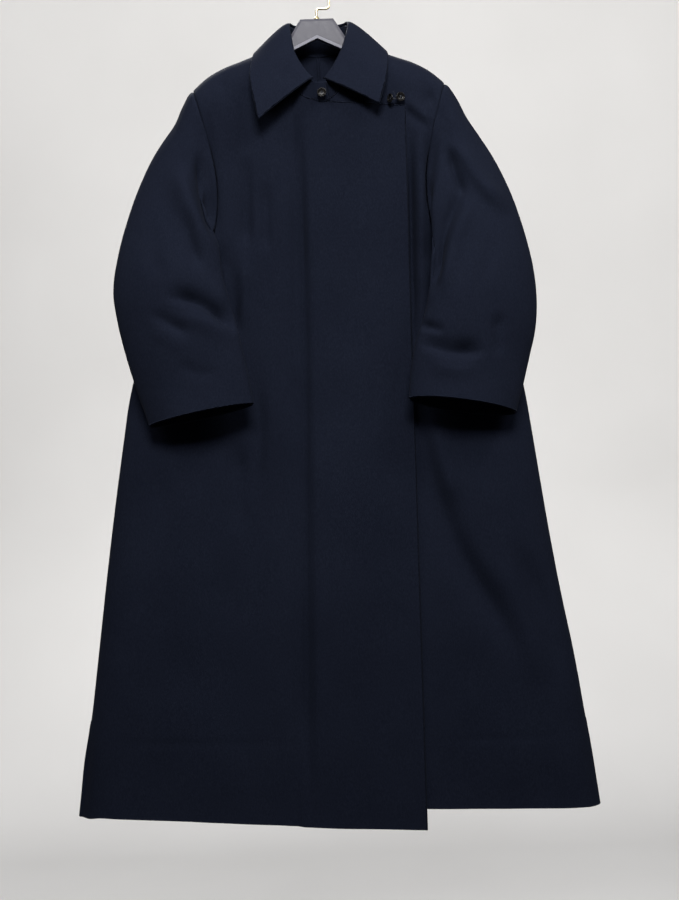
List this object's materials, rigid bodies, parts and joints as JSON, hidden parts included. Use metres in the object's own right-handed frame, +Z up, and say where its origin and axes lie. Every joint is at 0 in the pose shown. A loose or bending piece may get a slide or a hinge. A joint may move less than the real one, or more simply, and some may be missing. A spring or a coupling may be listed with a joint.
{
  "type": "long wrap coat on a hanger",
  "caption": "Long flared wool wrap coat with a pointed turn-down collar, wide bent sleeves and horn buttons, hung nearly flat on a grey hanger with a brass hook.",
  "frame": {"origin": "the underside of the hook's top bar, where it rests on a rod", "axes": "+Z up, the front faces -Y, +X to the wearer's left"},
  "size_m": [0.8444, 0.159, 1.3776],
  "materials": {
    "navy_wool": "dense matt wool with a short nap",
    "dark_horn": "polished, clouded horn",
    "grey_paint": "satin grey, lighter on the bevels",
    "brass": "pale polished wire"
  },
  "bodies": {
    "root": {"back_left": "navy_wool", "back_right": "navy_wool", "button_neck": "dark_horn", "button_wrap_inner": "dark_horn", "button_wrap_outer": "dark_horn", "collar_leaf": "navy_wool", "collar_stand": "navy_wool", "front_left": "navy_wool", "front_right": "navy_wool", "hanger_body": "grey_paint", "hanger_ferrule": "brass", "hanger_hook": "brass", "sleeve_left_top": "navy_wool", "sleeve_left_under": "navy_wool", "sleeve_right_top": "navy_wool", "sleeve_right_under": "navy_wool"}
  },
  "joints": []
}
